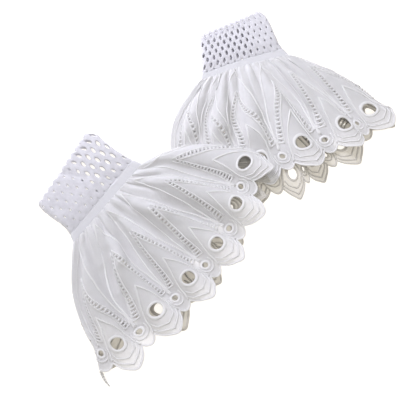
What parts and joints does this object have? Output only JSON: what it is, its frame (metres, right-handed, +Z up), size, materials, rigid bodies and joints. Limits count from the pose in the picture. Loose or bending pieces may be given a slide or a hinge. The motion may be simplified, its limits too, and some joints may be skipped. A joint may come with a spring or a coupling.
{
  "type": "pair of lace wrist cuffs",
  "caption": "Pair of white cotton wrist cuffs lying flat, each with an openwork elastic wristband, a tape and a gathered eyelet lace flounce with a scalloped hem.",
  "frame": {"origin": "bottom middle of the pair's box, on the surface that both cuffs lie on", "axes": "+Z up from the surface; +Y along the pair's longer side, away from the viewer; +X to the viewer's right"},
  "size_m": [0.2944, 0.337, 0.0157],
  "materials": {
    "white_cotton": "matt eyelet lace, plain weave with satin stitch",
    "crochet_cotton": "matt openwork elastic net",
    "cotton_tape": "smooth woven tape",
    "cotton_thread": "loose cotton thread"
  },
  "bodies": {
    "root": {"left_wristband": "crochet_cotton", "left_tape": "cotton_tape", "left_flounce_front": "white_cotton", "left_flounce_back": "white_cotton", "left_thread_tail": "cotton_thread", "right_wristband": "crochet_cotton", "right_tape": "cotton_tape", "right_flounce_front": "white_cotton", "right_flounce_back": "white_cotton"}
  },
  "joints": []
}
